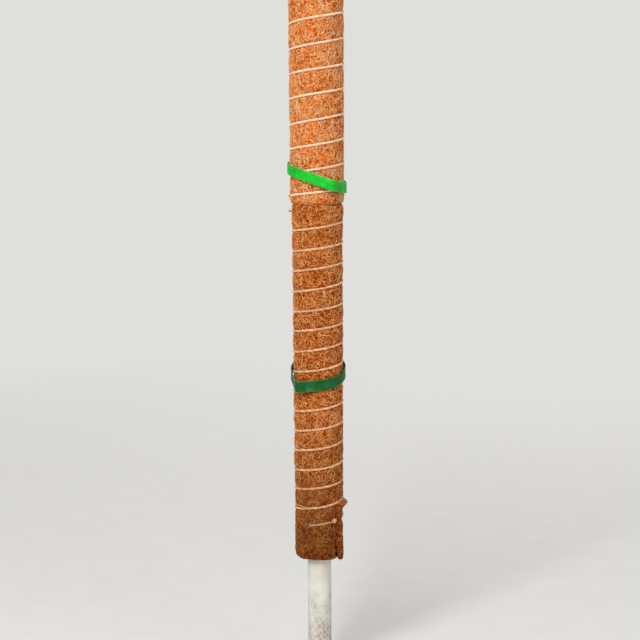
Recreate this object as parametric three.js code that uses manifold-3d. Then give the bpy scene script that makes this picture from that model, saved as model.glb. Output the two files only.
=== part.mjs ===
// A stackable moss pole: two coir-wrapped lengths plugged one into the other, each bound with twine,
// and two loops of soft tape that hold something upright against the pole.
// Millimetres, +Z up. The origin is on the pole's axis at the soil line, where the lower length's coir
// ends and its bare spigot begins. The front of the pole faces -Y. An azimuth is in degrees from the
// front towards +X, so it runs anticlockwise seen from above.

import * as THREE from "three";
import { mergeVertices } from "three/addons/utils/BufferGeometryUtils.js";
import Module from "manifold-3d";

// The core of each length: a tube with a thinner spigot fixed in its foot
const WRAPPED_LENGTH = 300;
const SPIGOT_REACH = 100;
const SPIGOT_SEAT = 60;
const TUBE_DIAMETER = 25;
const TUBE_WALL = 2.2;
const SPIGOT_WALL = 2;
const SPIGOT_CHAMFER = 1;

// Gaps between pieces that seat on each other, and between the two lengths when pushed home
const SEAT_CLEARANCE = 0.3;
const STACKING_GAP = 0.3;

// The coir mats, each one turn of felted fibre with its two thinned edges overlapping at the seam
const LOWER_FOOT_DIAMETER = 37.6;
const LOWER_HEAD_DIAMETER = 39.2;
const UPPER_FOOT_DIAMETER = 41.6;
const UPPER_HEAD_DIAMETER = 42.4;
const SEAM_AZIMUTH = 46;
const SEAM_OVERLAP = 45;
const SEAM_EDGE = 1.6;
const SEAM_GAP = 0.5;

// The corner of the lower mat that has worked loose below the last turn of twine
const LOOSE_CORNER_HEIGHT = 31;
const LOOSE_CORNER_LIFT = 5;
const LOOSE_CORNER_SPAN = 26;

// The binding twine, a right-handed winding on each length
const TWINE_DIAMETER = 2;
const LOWER_PITCH = 16.8;
const LOWER_TWINE_START = 34.1;
const LOWER_TWINE_AZIMUTH = 50;
const LOWER_FIRST_TURN_CLOSING = 3;
const UPPER_PITCH = 20.2;
const UPPER_TWINE_START = 6.5;
const UPPER_TWINE_AZIMUTH = -80;
const UPPER_FIRST_TURN_CLOSING = 3;
const TWINE_END_MARGIN = 9;
const KNOT_DIAMETER = 4;
const KNOT_LENGTH = 4.4;
const KNOT_TAIL_LENGTH = 6;
const KNOT_TAIL_TILT = 14;

// The ties: a strip of tape round the pole, its ends pinched together in a fin and stapled
const TAPE_WIDTH = 9;
const TAPE_THICKNESS = 0.6;
const TAPE_CLEARANCE = 0.4;
const FIN_LENGTH = 9;
const FIN_GAP = 0.3;
const FIN_FOLD_RADIUS = 0.8;
const TIED_ROOM_DIAMETER = 6.4;
const LOWER_TIE_HEIGHT = 158.3;
const LOWER_TIE_RISE_TO_BACK = 0.36;
const LOWER_TIE_RISE_TO_RIGHT = 0.04;
const LOWER_TIED_ROOM_AZIMUTH = -38;
const LOWER_FIN_AZIMUTH = 165;
const UPPER_TIE_HEIGHT = 20.7;
const UPPER_TIE_RISE_TO_BACK = 0.05;
const UPPER_TIE_RISE_TO_RIGHT = -0.34;
const UPPER_TIED_ROOM_AZIMUTH = 25;
const UPPER_FIN_AZIMUTH = 200;
const STAPLE_CROWN = 6;
const STAPLE_WIRE = 0.7;
const STAPLE_FOOT_GAP = 1;

// Fineness of the round shapes
const TUBE_SIDES = 48;
const MAT_STEPS = 36;
const SEAM_STEPS = 5;
const TWINE_STEPS_A_TURN = 24;
const TWINE_SIDES = 6;
const KNOT_SIDES = 12;
const TAPE_STEP = 9;
const FOLD_STEPS = 4;
const LOOSE_CORNER_STEPS = 4;

const wasm = await Module();
wasm.setup();

// Sizes that follow from the driving dimensions
const tubeRadius = TUBE_DIAMETER / 2;
const boreRadius = tubeRadius - TUBE_WALL;
const spigotRadius = boreRadius - SEAT_CLEARANCE;
const matInnerRadius = tubeRadius + SEAT_CLEARANCE;
const twineRadius = TWINE_DIAMETER / 2;
const upperFootHeight = WRAPPED_LENGTH + STACKING_GAP;
const finHalfThickness = TAPE_THICKNESS + FIN_GAP / 2;

const lowerCoir = { foot: LOWER_FOOT_DIAMETER / 2, head: LOWER_HEAD_DIAMETER / 2 };
const upperCoir = { foot: UPPER_FOOT_DIAMETER / 2, head: UPPER_HEAD_DIAMETER / 2 };

// Unit vector in plan that points away from the axis at an azimuth
function outward(azimuth) {
  const angle = THREE.MathUtils.degToRad(azimuth);
  return new THREE.Vector2(Math.sin(angle), -Math.cos(angle));
}

function lift(point, height) {
  return new THREE.Vector3(point.x, point.y, height);
}

function coirRadius(coir, height) {
  return THREE.MathUtils.lerp(coir.foot, coir.head, height / WRAPPED_LENGTH);
}

function crestRadius(coir) {
  return Math.max(coir.foot, coir.head) + SEAT_CLEARANCE + TWINE_DIAMETER;
}

// Solids for joining and cutting, and back to a geometry
function solidFrom(geometry) {
  const bare = geometry.clone();
  bare.deleteAttribute("normal");
  bare.deleteAttribute("uv");
  const merged = mergeVertices(bare, 1e-4);
  const vertProperties = merged.getAttribute("position").array;
  const triVerts = new Uint32Array(merged.index.array);
  return new wasm.Manifold(new wasm.Mesh({ numProp: 3, vertProperties, triVerts }));
}

function geometryFrom(solid) {
  const { vertProperties, triVerts } = solid.getMesh();
  return closedGeometry(Array.from(vertProperties), Array.from(triVerts));
}

function closedGeometry(positions, triangles) {
  const geometry = new THREE.BufferGeometry();
  geometry.setAttribute("position", new THREE.Float32BufferAttribute(positions, 3));
  geometry.setIndex(triangles);
  geometry.computeVertexNormals();
  return geometry;
}

// A skin over rings of points, closed by a cap at each end
function skinOver(rings, firstCap, lastCap) {
  const count = rings[0].length;
  const positions = rings.flat().flatMap((point) => point.toArray());
  const triangles = [];
  for (let ring = 0; ring + 1 < rings.length; ring += 1) {
    for (let i = 0; i < count; i += 1) {
      const next = (i + 1) % count;
      const low = ring * count;
      const high = low + count;
      triangles.push(low + i, low + next, high + next);
      triangles.push(low + i, high + next, high + i);
    }
  }
  const top = (rings.length - 1) * count;
  firstCap.forEach(([a, b, c]) => triangles.push(a, c, b));
  lastCap.forEach(([a, b, c]) => triangles.push(top + a, top + b, top + c));
  return closedGeometry(positions, triangles);
}

// A tube that stands on z = 0, with a chamfer round the outside of its foot
function tubeGeometry(radius, wall, length, chamfer) {
  const inner = radius - wall;
  const profile = [
    new THREE.Vector2(inner, 0),
    new THREE.Vector2(radius - chamfer, 0),
    new THREE.Vector2(radius, chamfer),
    new THREE.Vector2(radius, length),
    new THREE.Vector2(inner, length),
    new THREE.Vector2(inner, 0),
  ];
  const outline = profile.filter((point, i) => i === 0 || point.distanceTo(profile[i - 1]) > 0);
  return new THREE.LatheGeometry(outline, TUBE_SIDES).rotateX(Math.PI / 2);
}

// One level of a coir mat: round the outside from the free edge of the flap to the seam, down the slope
// of the edge beneath, back round the inside, and out along the underside of the flap
function matOutline(radius, height, looseLift) {
  const thickness = radius - matInnerRadius;
  const beneath = thickness - SEAM_EDGE - SEAM_GAP;
  const seamTurn = THREE.MathUtils.radToDeg(SEAM_GAP / radius);
  const edgeTurn = THREE.MathUtils.radToDeg(SEAM_GAP / matInnerRadius);
  const fallen = Math.max(0, 1 - height / LOOSE_CORNER_HEIGHT);
  const curl = (turn) => looseLift * fallen ** 2 * Math.max(0, 1 - turn / LOOSE_CORNER_SPAN) ** 2;
  const slope = (share) => matInnerRadius + THREE.MathUtils.lerp(beneath, SEAM_EDGE, share);
  const points = [];
  const add = (turn, distance) => {
    points.push(lift(outward(SEAM_AZIMUTH + turn).multiplyScalar(distance), height));
  };
  for (let i = 0; i <= MAT_STEPS; i += 1) {
    const turn = ((360 - seamTurn) * i) / MAT_STEPS;
    add(turn, radius + curl(turn));
  }
  for (let i = 0; i <= SEAM_STEPS; i += 1) {
    const share = i / SEAM_STEPS;
    add(360 - seamTurn + (SEAM_OVERLAP + seamTurn) * share, slope(share));
  }
  for (let i = 0; i <= MAT_STEPS; i += 1) {
    add(360 + SEAM_OVERLAP - ((360 - edgeTurn) * i) / MAT_STEPS, matInnerRadius);
  }
  for (let i = SEAM_STEPS; i >= 0; i -= 1) {
    const share = i / SEAM_STEPS;
    const turn = (SEAM_OVERLAP + edgeTurn) * share;
    add(turn, slope(share) + SEAM_GAP + curl(turn));
  }
  return points;
}

function matGeometry(coir, looseLift) {
  const heights = [];
  for (let i = 0; i < LOOSE_CORNER_STEPS; i += 1) {
    heights.push((LOOSE_CORNER_HEIGHT * i) / LOOSE_CORNER_STEPS);
  }
  heights.push(LOOSE_CORNER_HEIGHT, WRAPPED_LENGTH);
  const rings = heights.map((height) => matOutline(coirRadius(coir, height), height, looseLift));
  const cap = (ring) => {
    const plan = ring.map((point) => new THREE.Vector2(point.x, point.y));
    return THREE.ShapeUtils.triangulateShape(plan, []);
  };
  return skinOver(rings, cap(rings[0]), cap(rings[rings.length - 1]));
}

// The twine's centre line, from its knot at the foot to its knot at the head. The first turn closes up.
function twineWinding(coir, winding) {
  const rise = WRAPPED_LENGTH - TWINE_END_MARGIN - winding.start + winding.closing;
  const turns = rise / winding.pitch;
  const steps = Math.ceil(turns * TWINE_STEPS_A_TURN);
  const at = (turn) => {
    const closed = winding.closing * (1 - Math.max(0, 1 - turn) ** 2);
    const height = winding.start + winding.pitch * turn - closed;
    const distance = coirRadius(coir, height) + SEAT_CLEARANCE + twineRadius;
    return lift(outward(winding.azimuth + 360 * turn).multiplyScalar(distance), height);
  };
  const points = [];
  for (let i = 0; i <= steps; i += 1) {
    points.push(at((turns * i) / steps));
  }
  const leave = (end, before) => end.clone().sub(before).normalize();
  const footWay = leave(points[0], points[1]);
  const headWay = leave(points[steps], points[steps - 1]);
  const foot = points[0].clone().addScaledVector(footWay, TWINE_DIAMETER);
  const head = points[steps].clone().addScaledVector(headWay, TWINE_DIAMETER);
  return { points: [foot, ...points, head], foot, footWay, head, headWay };
}

function twineGeometry(points) {
  const rings = points.map((point, i) => {
    const before = points[Math.max(0, i - 1)];
    const after = points[Math.min(points.length - 1, i + 1)];
    const along = after.clone().sub(before).normalize();
    const away = new THREE.Vector3(point.x, point.y, 0).normalize();
    const side = along.clone().cross(away).normalize();
    const up = side.clone().cross(along);
    const ring = [];
    for (let k = 0; k < TWINE_SIDES; k += 1) {
      const angle = (2 * Math.PI * k) / TWINE_SIDES;
      const corner = point.clone().addScaledVector(up, twineRadius * Math.cos(angle));
      ring.push(corner.addScaledVector(side, twineRadius * Math.sin(angle)));
    }
    return ring;
  });
  const cap = [];
  for (let k = 1; k + 1 < TWINE_SIDES; k += 1) {
    cap.push([0, k, k + 1]);
  }
  return skinOver(rings, cap, cap);
}

// The least gap of a winding to itself, between points at least half a turn apart
function leastGap(points) {
  let least = Infinity;
  for (let i = 0; i < points.length; i += 1) {
    for (let j = i + TWINE_STEPS_A_TURN / 2; j < points.length; j += 1) {
      least = Math.min(least, points[i].distanceTo(points[j]) - TWINE_DIAMETER);
    }
  }
  return least;
}

// A knot with its tail, along +Z from the face that the twine runs into, with +X away from the pole
function knotGeometry() {
  const wide = KNOT_DIAMETER / 2;
  const narrow = 0.7 * wide;
  const profile = [
    new THREE.Vector2(0, 0),
    new THREE.Vector2(narrow, 0),
    new THREE.Vector2(wide, 0.3 * KNOT_LENGTH),
    new THREE.Vector2(wide, 0.7 * KNOT_LENGTH),
    new THREE.Vector2(narrow, KNOT_LENGTH),
    new THREE.Vector2(0, KNOT_LENGTH),
  ];
  const body = new THREE.LatheGeometry(profile, KNOT_SIDES).rotateX(Math.PI / 2);
  const tail = new THREE.CylinderGeometry(twineRadius, twineRadius, KNOT_TAIL_LENGTH, TWINE_SIDES);
  tail.rotateX(Math.PI / 2);
  tail.translate(0, 0, KNOT_TAIL_LENGTH / 2);
  tail.rotateY(THREE.MathUtils.degToRad(KNOT_TAIL_TILT));
  tail.translate(0, 0, KNOT_LENGTH - twineRadius);
  return geometryFrom(solidFrom(flipIfInward(body)).add(solidFrom(tail)));
}

// A lathe's faces point in or out with the direction of its profile, so a solid turns them outward
function flipIfInward(geometry) {
  const index = geometry.index.array;
  const position = geometry.getAttribute("position");
  const [a, b, c] = [new THREE.Vector3(), new THREE.Vector3(), new THREE.Vector3()];
  let volume = 0;
  for (let i = 0; i < index.length; i += 3) {
    a.fromBufferAttribute(position, index[i]);
    b.fromBufferAttribute(position, index[i + 1]);
    c.fromBufferAttribute(position, index[i + 2]);
    volume += a.dot(b.cross(c));
  }
  if (volume < 0) {
    for (let i = 0; i < index.length; i += 3) {
      [index[i + 1], index[i + 2]] = [index[i + 2], index[i + 1]];
    }
  }
  return geometry;
}

// Places a knot at an end of the twine, resting on the coir
function seatKnot(knot, end, way) {
  const away = new THREE.Vector3(end.x, end.y, 0).normalize();
  const across = way.clone().cross(away).normalize();
  const up = across.clone().cross(way);
  knot.setRotationFromMatrix(new THREE.Matrix4().makeBasis(up, across, way));
  knot.position.copy(end);
  knot.position.addScaledVector(way, SEAT_CLEARANCE);
  knot.position.addScaledVector(up, KNOT_DIAMETER / 2 - twineRadius);
}

// The tape's inner face in plan with the way its outer face lies, from one end of the fin to the other:
// a belt round the pole and round the room it keeps for what is tied there
function tapePath(tie) {
  const { loopRadius, roomAzimuth, finAzimuth } = tie;
  const roomRadius = TIED_ROOM_DIAMETER / 2;
  const roomCentre = outward(roomAzimuth).multiplyScalar(tie.roomDistance);
  const spread = THREE.MathUtils.radToDeg(Math.acos((loopRadius - roomRadius) / tie.roomDistance));
  const fold = FIN_FOLD_RADIUS + TAPE_THICKNESS;
  const foldTurn = THREE.MathUtils.radToDeg(Math.asin((FIN_GAP / 2 + fold) / (loopRadius + fold)));
  const roomTurn = THREE.MathUtils.euclideanModulo(roomAzimuth - finAzimuth, 360) + finAzimuth;
  const finEnd = outward(finAzimuth).multiplyScalar(loopRadius + FIN_LENGTH);
  const finSide = outward(finAzimuth + 90);
  const centre = new THREE.Vector2();
  const path = [];
  const arc = (middle, radius, from, to, steps, facing) => {
    for (let i = 0; i <= steps; i += 1) {
      const way = outward(THREE.MathUtils.lerp(from, to, i / steps));
      const point = middle.clone().addScaledVector(way, radius);
      path.push({ point, way: way.multiplyScalar(facing) });
    }
  };
  const round = (from, to) => {
    const steps = Math.ceil((to - from) / TAPE_STEP);
    const inside = foldTurn / 4;
    arc(centre, loopRadius, from + inside, to - inside, steps, 1);
  };
  const foldAt = (turn, from, to) => {
    const middle = outward(finAzimuth + turn).multiplyScalar(loopRadius + fold);
    arc(middle, fold, from, to, FOLD_STEPS, -1);
  };
  path.push({ point: finEnd.clone().addScaledVector(finSide, FIN_GAP / 2), way: finSide.clone() });
  foldAt(foldTurn, finAzimuth - 90, finAzimuth + foldTurn - 180);
  round(finAzimuth + foldTurn, roomTurn - spread);
  arc(roomCentre, roomRadius, roomTurn - spread, roomTurn + spread, 2 * FOLD_STEPS, 1);
  round(roomTurn + spread, finAzimuth + 360 - foldTurn);
  foldAt(-foldTurn, finAzimuth - foldTurn + 180, finAzimuth + 90);
  path.push({ point: finEnd.clone().addScaledVector(finSide, -FIN_GAP / 2), way: finSide.negate() });
  return path;
}

// Height of the middle of a slanted tape over a point of its plan
function tapeHeight(tie, point) {
  return tie.height + tie.riseToRight * point.x + tie.riseToBack * point.y;
}

// Frame at the middle of the fin: +X across the fin, +Y up, +Z away from the pole
function finFrame(tie) {
  const away = outward(tie.finAzimuth);
  const middle = away.clone().multiplyScalar(tie.loopRadius + FIN_LENGTH / 2 + FIN_FOLD_RADIUS);
  const frame = new THREE.Matrix4().makeBasis(
    lift(outward(tie.finAzimuth + 90), 0),
    new THREE.Vector3(0, 0, 1),
    lift(away, 0),
  );
  return frame.setPosition(lift(middle, tapeHeight(tie, middle)));
}

function tapeGeometry(tie) {
  const path = tapePath(tie);
  const inner = path.map(({ point }) => point);
  const outer = path.map(({ point, way }) => point.clone().addScaledVector(way, TAPE_THICKNESS));
  const outline = new THREE.Shape([...inner, ...outer.reverse()]);
  const strip = new THREE.ExtrudeGeometry(outline, { depth: TAPE_WIDTH, bevelEnabled: false });
  const slant = new THREE.Matrix4();
  slant.elements[2] = tie.riseToRight;
  slant.elements[6] = tie.riseToBack;
  slant.elements[14] = tie.height - TAPE_WIDTH / 2;
  strip.applyMatrix4(slant);
  let solid = solidFrom(strip);
  const hole = STAPLE_WIRE + 2 * SEAT_CLEARANCE;
  const through = 2 * finHalfThickness + 2 * STAPLE_WIRE;
  for (const end of [-1, 1]) {
    const cut = new THREE.BoxGeometry(through, hole, hole);
    cut.translate(0, (end * (STAPLE_CROWN - STAPLE_WIRE)) / 2, 0);
    solid = solid.subtract(solidFrom(cut.applyMatrix4(finFrame(tie))));
  }
  return geometryFrom(solid);
}

// A wire staple, closed round the fin: the crown on one side and the two turned-in feet on the other
function stapleGeometry() {
  const side = finHalfThickness + SEAT_CLEARANCE;
  const out = side + STAPLE_WIRE;
  const top = STAPLE_CROWN / 2;
  const leg = top - STAPLE_WIRE;
  const foot = STAPLE_FOOT_GAP / 2;
  const outline = new THREE.Shape();
  outline.moveTo(-out, -top);
  outline.lineTo(out, -top);
  outline.lineTo(out, -foot);
  outline.lineTo(side, -foot);
  outline.lineTo(side, -leg);
  outline.lineTo(-side, -leg);
  outline.lineTo(-side, leg);
  outline.lineTo(side, leg);
  outline.lineTo(side, foot);
  outline.lineTo(out, foot);
  outline.lineTo(out, top);
  outline.lineTo(-out, top);
  const wire = new THREE.ExtrudeGeometry(outline, { depth: STAPLE_WIRE, bevelEnabled: false });
  return wire.translate(0, 0, -STAPLE_WIRE / 2);
}

// Finishes
const finishes = {
  tube: { color: 0xc9c5b8, roughness: 0.45, metalness: 0 },
  lowerCoir: { color: 0x95582c, roughness: 0.95, metalness: 0 },
  upperCoir: { color: 0xb8703c, roughness: 0.95, metalness: 0 },
  twine: { color: 0xd8b48c, roughness: 0.9, metalness: 0 },
  upperTape: { color: 0x3aa63f, roughness: 0.4, metalness: 0 },
  lowerTape: { color: 0x2b6a45, roughness: 0.4, metalness: 0 },
  staple: { color: 0xa9abab, roughness: 0.35, metalness: 1 },
};

function piece(name, geometry, finish) {
  const mesh = new THREE.Mesh(geometry, new THREE.MeshStandardMaterial(finishes[finish]));
  mesh.name = name;
  return mesh;
}

// One length of the pole, standing on its coir's foot
function section(prefix, spigotName, coir, winding, looseLift) {
  const group = new THREE.Group();
  const tube = tubeGeometry(tubeRadius, TUBE_WALL, WRAPPED_LENGTH, 0);
  const spigotLength = SPIGOT_REACH + SPIGOT_SEAT;
  const spigotShape = tubeGeometry(spigotRadius, SPIGOT_WALL, spigotLength, SPIGOT_CHAMFER);
  const spigot = piece(spigotName, flipIfInward(spigotShape), "tube");
  spigot.position.z = -SPIGOT_REACH;
  const twine = twineWinding(coir, winding);
  const footKnot = piece(`${prefix}_twine_foot_knot`, knotGeometry(), "twine");
  const headKnot = piece(`${prefix}_twine_head_knot`, knotGeometry(), "twine");
  seatKnot(footKnot, twine.foot, twine.footWay);
  seatKnot(headKnot, twine.head, twine.headWay);
  group.add(
    piece(`${prefix}_core_tube`, flipIfInward(tube), "tube"),
    spigot,
    piece(`${prefix}_coir_mat`, matGeometry(coir, looseLift), `${prefix}Coir`),
    piece(`${prefix}_binding_twine`, twineGeometry(twine.points), "twine"),
    footKnot,
    headKnot,
  );
  console.log(`${prefix} twine: least gap to itself ${leastGap(twine.points).toFixed(2)} mm`);
  return group;
}

// A tie with its staple, in the frame of the length that it goes round
function tapeTie(prefix, coir, place) {
  const crest = crestRadius(coir);
  const tie = {
    ...place,
    loopRadius: crest + TAPE_CLEARANCE,
    roomDistance: crest + SEAT_CLEARANCE + TIED_ROOM_DIAMETER / 2,
  };
  const group = new THREE.Group();
  const staple = piece(`${prefix}_tie_staple`, stapleGeometry(), "staple");
  const frame = finFrame(tie);
  staple.setRotationFromMatrix(frame);
  staple.position.setFromMatrixPosition(frame);
  group.add(piece(`${prefix}_tie_tape`, tapeGeometry(tie), `${prefix}Tape`), staple);
  return group;
}

const lowerWinding = {
  pitch: LOWER_PITCH,
  start: LOWER_TWINE_START,
  azimuth: LOWER_TWINE_AZIMUTH,
  closing: LOWER_FIRST_TURN_CLOSING,
};
const upperWinding = {
  pitch: UPPER_PITCH,
  start: UPPER_TWINE_START,
  azimuth: UPPER_TWINE_AZIMUTH,
  closing: UPPER_FIRST_TURN_CLOSING,
};

const lowerSection = section("lower", "ground_spigot", lowerCoir, lowerWinding, LOOSE_CORNER_LIFT);
lowerSection.add(
  tapeTie("lower", lowerCoir, {
    height: LOWER_TIE_HEIGHT,
    riseToRight: LOWER_TIE_RISE_TO_RIGHT,
    riseToBack: LOWER_TIE_RISE_TO_BACK,
    roomAzimuth: LOWER_TIED_ROOM_AZIMUTH,
    finAzimuth: LOWER_FIN_AZIMUTH,
  }),
);

const upperSection = section("upper", "joining_spigot", upperCoir, upperWinding, 0);
upperSection.position.z = upperFootHeight;
upperSection.add(
  tapeTie("upper", upperCoir, {
    height: UPPER_TIE_HEIGHT,
    riseToRight: UPPER_TIE_RISE_TO_RIGHT,
    riseToBack: UPPER_TIE_RISE_TO_BACK,
    roomAzimuth: UPPER_TIED_ROOM_AZIMUTH,
    finAzimuth: UPPER_FIN_AZIMUTH,
  }),
);

const mossPole = new THREE.Group();
mossPole.add(lowerSection, upperSection);

export default mossPole;
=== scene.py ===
# Looks of a stackable moss pole: felted coir mats with their loose fibres, laid twine, soft tape ties and
# plastic cores. Metres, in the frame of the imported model: +Z up along the pole, its front facing -Y.
# An azimuth is in degrees from the front towards +X, and a turn is in degrees on from the mat's seam.
# Twine is counted in laps round the pole.

import math
from dataclasses import dataclass

import bpy
import numpy as np
from mathutils import Matrix, Vector


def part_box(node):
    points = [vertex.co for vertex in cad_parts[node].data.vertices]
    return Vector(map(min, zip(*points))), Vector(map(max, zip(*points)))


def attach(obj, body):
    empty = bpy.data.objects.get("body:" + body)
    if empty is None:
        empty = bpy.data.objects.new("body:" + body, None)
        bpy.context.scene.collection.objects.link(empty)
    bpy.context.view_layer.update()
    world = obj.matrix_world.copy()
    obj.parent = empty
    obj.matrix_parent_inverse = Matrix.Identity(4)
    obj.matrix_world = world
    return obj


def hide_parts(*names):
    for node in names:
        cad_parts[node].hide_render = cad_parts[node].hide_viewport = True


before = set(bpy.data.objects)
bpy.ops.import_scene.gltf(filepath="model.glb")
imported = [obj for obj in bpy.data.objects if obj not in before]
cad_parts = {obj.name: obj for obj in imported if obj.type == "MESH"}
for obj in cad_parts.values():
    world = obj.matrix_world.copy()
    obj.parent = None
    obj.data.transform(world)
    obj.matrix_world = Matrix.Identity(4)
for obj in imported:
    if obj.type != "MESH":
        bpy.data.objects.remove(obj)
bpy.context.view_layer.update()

MM = 0.001

# The view: a long lens in front of the pole, looking a little down. The lens is in millimetres
LENS = 84.4
CAMERA_DISTANCE = 1.256
CAMERA_PITCH = 8.2
CAMERA_ROLL = 0.36
AIM_HEIGHT = 0.202
AIM_RIGHT = 1.75 * MM

# Stage: each lamp has a place, a size in metres and a power in watts
FLOOR_RADIUS = 6.0
FLOOR_FADE = (0.35, 1.6)
FLOOR_SIDES = 64
LAMPS = (
    ("key", (-0.8, -1.7, 1.6), 1.1, 53.0),
    ("fill", (1.5, -1.4, 0.9), 1.4, 11.0),
    ("back", (0.5, 1.8, 1.2), 1.2, 16.0),
)
LAMP_AIM_HEIGHT = 0.252
WORLD_LIGHT = 0.36

# Colours as seen on a screen, 0 to 255, darker ones first
BACKGROUND = (224, 223, 220)
FLOOR_COLOURS = (BACKGROUND, (227, 226, 223))
PLASTIC_COLOURS = ((196, 192, 178), (222, 219, 208))
SCUFF_COLOUR = (168, 160, 142)
STAIN_COLOUR = (92, 68, 46)
STEEL_COLOURS = ((150, 146, 138), (205, 205, 203))
# Tint for the darkening towards the foot: partly damp, partly painted shade
DAMP_AND_SHADE_TINT = (166, 150, 124)

# Materials: the range that most of a noise is in, and where the stain and the darkening towards the foot
# reach; that darkening is partly damp, partly painted shade
NOISE_RANGE = (0.3, 0.7)
DAMP_AND_SHADE_HEIGHT = 120 * MM
DAMP_AND_SHADE_PATCH = 20 * MM
TWINE_DAMP_AND_SHADE = 0.4
STAIN_HEIGHTS = (-35 * MM, -85 * MM)
STAIN_PATCH = 30 * MM

# The bake map: places on it run from 0 to 1, and an area of it is (left, foot, right, head)
BAKE_MAP = "OFBake"
CELL_MARGIN = 0.06

# Plastic cores
TUBE_WALL = 2.2 * MM
SPIGOT_WALL = 2 * MM
SPIGOT_CHAMFER = 1 * MM
RIM_ROUNDING = 0.4 * MM
CORE_SIDES = 96

# Coir mats
WRAPPED_LENGTH = 300 * MM
MAT_INNER_RADIUS = 12.8 * MM
SEAM_AZIMUTH = 46
SEAM_OVERLAP = 45
SEAM_EDGE = 1.6 * MM
SEAM_GAP = 0.5 * MM
MAT_COLUMNS = 216
MAT_ROWS = 300
MAT_ROWS_A_STEP = 5

# Where the lower mat's flap has worked loose. Turns and spans run on from its free edge
LOOSE_CORNER_HEIGHT = 44 * MM
LOOSE_CORNER_SPAN = 26
BUNCHED_EDGE_HEIGHT = 3 * MM
BUNCHED_EDGE_TURN = 8
BUNCHED_EDGE_SPAN = 8
TUFT_TURN = 40
TUFT_START_SPAN = 4
TUFT_SPAN = 14
TUFT_HEIGHT = 46 * MM
TUFT_DEPTH = 2.8 * MM
TUFT_ROOT = 1.8 * MM
TUFT_REACH = 3.4 * MM
HOLLOW_DEPTH = 3.2 * MM
HOLLOW_TURNS = (14, 24, 60, 90)
HOLLOW_HEIGHT = 42 * MM

# How the felt swells between the laps of twine, and how uneven it is
FULLNESS = 1.1 * MM
BITE_WIDTH = 2.4 * MM
LUMP_HEIGHT = 0.22 * MM
LUMP_SIZE = 15 * MM
GRAIN_HEIGHT = 0.16 * MM
GRAIN_SIZE = 2.2 * MM
END_ROUNDING = 1.2 * MM
# The felt under the fibres is dark, and darker in pits: painted shade in the gaps between fibres
PIT_SHADE = 0.02
PIT_SPREAD = 0.14
PIT_SQUEEZE = 1.7

# Coir fibres. A sway is in radians, and a tip is a share of the thickness
FIBRE_POINTS = 9
FIBRE_SIDES = 3
FIBRE_BURIED = 0.5 * MM
FIBRE_SWAY = 0.6
FIBRE_SWAYS = 1.3
FIBRE_TIP = 0.4
SHADE_SPREAD = 0.12
CLUMP_SIZE = 5 * MM
CLUMP_SHADE = 0.08
STRAY_SHARE = 0.1
STRAY_REACH = 1.1 * MM
END_OVERHANG = 0.9 * MM
CUT_FIBRES = 240
CUT_FIBRE_INSET = 0.2 * MM
CUT_FIBRE_OVERHANG = 0.3 * MM
CUT_FIBRE_LIFT = 0.5 * MM
CUT_FIBRE_ROOT = 0.1 * MM
FRAY_OVERHANG = 1 * MM
FRAY_ROOT = 0.2 * MM

# Binding twine. A ply's radius and offset are shares of the twine's, and a wave is a size and a length
TWINE_DIAMETER = 2 * MM
TWINE_STEP = 0.75 * MM
TWINE_LAY = 6.5 * MM
TWINE_PLIES = 3
PLY_RADIUS = 0.52
PLY_OFFSET = 0.54
PLY_SIDES = 6
TWIST_WAVE = (0.25, 9 * MM)
PLY_LONG_WAVE = (0.09, 3.7 * MM)
PLY_SHORT_WAVE = (0.06, 1.6 * MM)
PLY_SHADE_WAVE = (0.12, 23 * MM)
FIRST_LAP_CLOSING = 3 * MM
TWINE_END_MARGIN = 9 * MM
TWINE_END_RUN = 2 * MM
TWINE_SWAY = 0.3 * MM
TWINE_HAIRS = 900
TWINE_HAIR_REACH = 3.2 * MM
HAIR_POINTS = 5
HAIR_RADIUS = 0.07 * MM
HAIR_CURL = 0.55

# Plies come away from the twine: the first and the last lap of each, and how far it bows up
LOOSE_PLIES = ((0.5, 0.82, 3.6 * MM), (3.5, 3.8, 3.2 * MM))
LOOSE_PLY_DIAMETER = 0.75 * MM
LOOSE_PLY_POINTS = 40

# Knots and the tails beyond them
KNOT_DIAMETER = 4 * MM
KNOT_LENGTH = 4.4 * MM
KNOT_CORE = 1.5 * MM
KNOT_STRAND = 1.3 * MM
KNOT_WRAPS = 2.5
KNOT_TUCKED = 0.45
STANDING_POINTS = 12
WRAP_POINTS = 60
TAIL_LENGTH = 6 * MM
TAIL_RISE = 0.3
TAIL_POINTS = 20
LONG_TAIL_LENGTH = 19 * MM
LONG_TAIL_FALL = 0.13
LONG_TAIL_SEAT = 0.5 * MM
LONG_TAIL_SETTLING = 4 * MM
TAIL_HAIRS = 26
TAIL_HAIR_REACH = 2.2 * MM

# Tape ties
TAPE_WIDTH = 9 * MM
TAPE_THICKNESS = 0.6 * MM
TAPE_CLEARANCE = 0.4 * MM
SEAT_CLEARANCE = 0.3 * MM
FIN_LENGTH = 9 * MM
FIN_GAP = 0.3 * MM
FIN_FOLD_RADIUS = 0.8 * MM
FIN_POINTS = 7
TIED_ROOM_DIAMETER = 6.4 * MM
TAPE_STEP = 2.5
TAPE_COLUMNS = 9
TAPE_WAVES = ((0.25 * MM, 11 * MM), (0.125 * MM, 4.3 * MM))
TAPE_WAVE_FADE = 14 * MM
TAPE_RIPPLE = 0.12 * MM
TAPE_RIPPLE_LENGTH = 6 * MM
STAPLE_CROWN = 6 * MM
STAPLE_WIRE = 0.7 * MM
STAPLE_FOOT_GAP = 1 * MM
STAPLE_BEND = 0.45 * MM


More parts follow.
